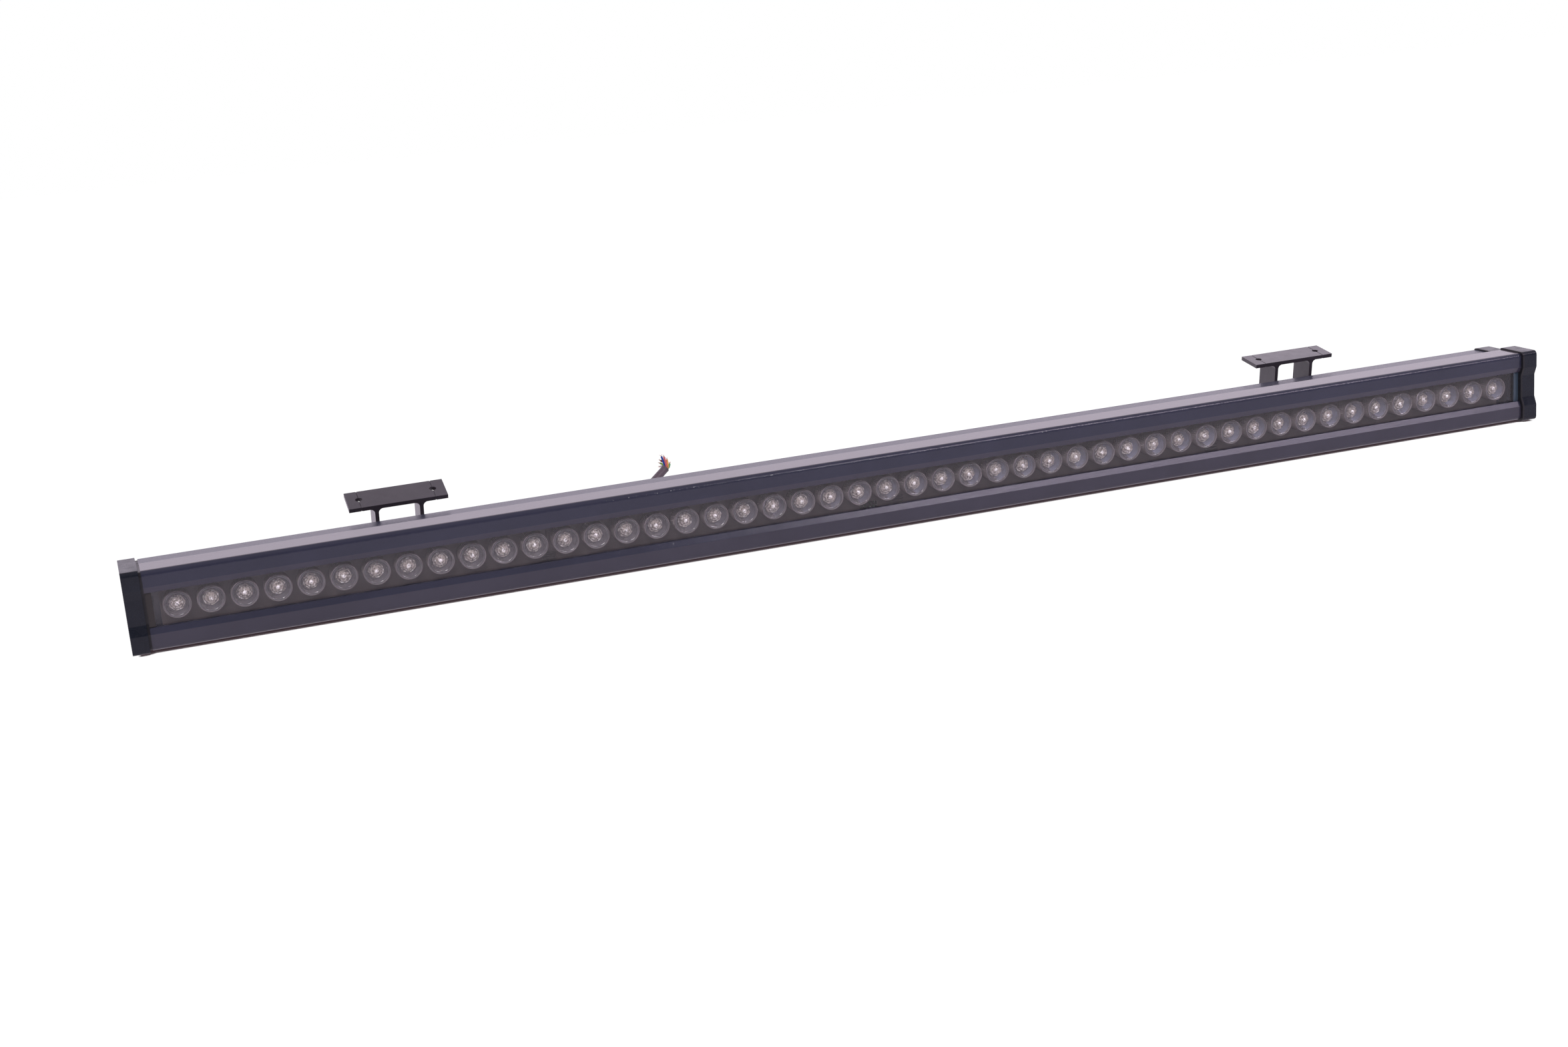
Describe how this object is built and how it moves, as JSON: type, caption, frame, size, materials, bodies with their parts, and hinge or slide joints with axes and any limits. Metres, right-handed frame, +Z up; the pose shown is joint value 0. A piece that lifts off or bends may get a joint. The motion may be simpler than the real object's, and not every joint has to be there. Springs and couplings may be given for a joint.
{
  "type": "wall washer light",
  "caption": "Long slim outdoor wall washer: a row of lensed LEDs behind flat glass in a bevelled metal housing with end caps, on two tilting, sliding brackets.",
  "frame": {"origin": "on the surface that the lamp stands on, under the middle of the lamp with its brackets", "axes": "+X along the lamp, to the right as seen from its glass; +Y from the glass to the back; +Z up"},
  "size_m": [1, 0.12, 0.0605],
  "materials": {
    "coated_metal": "fine-textured satin powder coat",
    "bracket_coat": "satin powder coat",
    "cap_plastic": "satin moulded plastic",
    "black_rubber": "matt",
    "clear_glass": "polished, clear",
    "sealant": "cloudy",
    "lens_clear": "clear moulded acrylic",
    "holder_clear": "clear ribbed plastic",
    "board_face": "dark solder mask",
    "led_package": "phosphor dome on a white base",
    "green_board": "green solder mask",
    "components": "mixed",
    "tray": "white insulating plastic",
    "wire": "insulated wire",
    "cores": "coloured insulation",
    "cable_sheath": "dark grey sheath",
    "gland_black": "black nylon",
    "block_metal": "black anodised",
    "stainless": "plain",
    "nylon": "natural nylon"
  },
  "bodies": {
    "lamp": {"housing": "coated_metal", "front_glass": "clear_glass", "glass_end_seals": "sealant", "glass_strips": "black_rubber", "end_cap_left": "cap_plastic", "end_cap_right": "cap_plastic", "cap_gasket_left": "black_rubber", "cap_gasket_right": "black_rubber", "cap_screws_left": "stainless", "cap_screws_right": "stainless", "board_screws": "stainless", "board_jumpers": "wire", "driver_tray": "tray", "driver_board": "green_board", "driver_components": "components", "lamp_leads": "wire", "supply_leads": "wire", "gland_body": "gland_black", "gland_locknut": "gland_black", "gland_seal": "black_rubber", "gland_gasket": "black_rubber", "gland_nut": "gland_black", "cable_inside": "cable_sheath", "supply_cable": "cable_sheath", "cable_cores": "cores", "led_board_1": "board_face", "leds_1": "led_package", "lenses_1": "lens_clear", "lens_holders_1": "holder_clear", "led_board_2": "board_face", "leds_2": "led_package", "lenses_2": "lens_clear", "lens_holders_2": "holder_clear", "led_board_3": "board_face", "leds_3": "led_package", "lenses_3": "lens_clear", "lens_holders_3": "holder_clear", "led_board_4": "board_face", "leds_4": "led_package", "lenses_4": "lens_clear", "lens_holders_4": "holder_clear"},
    "left_block": {"pivot_block_left": "block_metal", "block_screws_left": "stainless", "slot_nuts_left": "stainless"},
    "left_bracket": {"bracket_left": "bracket_coat", "pivot_bolt_left": "stainless", "pivot_nut_left": "stainless", "pivot_washers_left": "stainless", "friction_washers_left": "nylon"},
    "right_block": {"pivot_block_right": "block_metal", "block_screws_right": "stainless", "slot_nuts_right": "stainless"},
    "right_bracket": {"bracket_right": "bracket_coat", "pivot_bolt_right": "stainless", "pivot_nut_right": "stainless", "pivot_washers_right": "stainless", "friction_washers_right": "nylon"}
  },
  "joints": [
    {"name": "left_arm_slide", "type": "slide", "parent": "lamp", "child": "left_block", "axis": [1, 0, 0], "range_m": [-0.132, 0.114]},
    {"name": "right_arm_slide", "type": "slide", "parent": "lamp", "child": "right_block", "axis": [1, 0, 0], "range_m": [-0.4193, 0.1147]},
    {"name": "left_arm_tilt", "type": "hinge", "parent": "left_block", "child": "left_bracket", "pos_m": [-0.3235, 0.03723, 0.0307], "axis": [1, 0, 0], "range_deg": [-198.6, 31.4]},
    {"name": "right_arm_tilt", "type": "hinge", "parent": "right_block", "child": "right_bracket", "pos_m": [0.3408, 0.03723, 0.0307], "axis": [1, 0, 0], "range_deg": [-189.5, 40.5]}
  ]
}
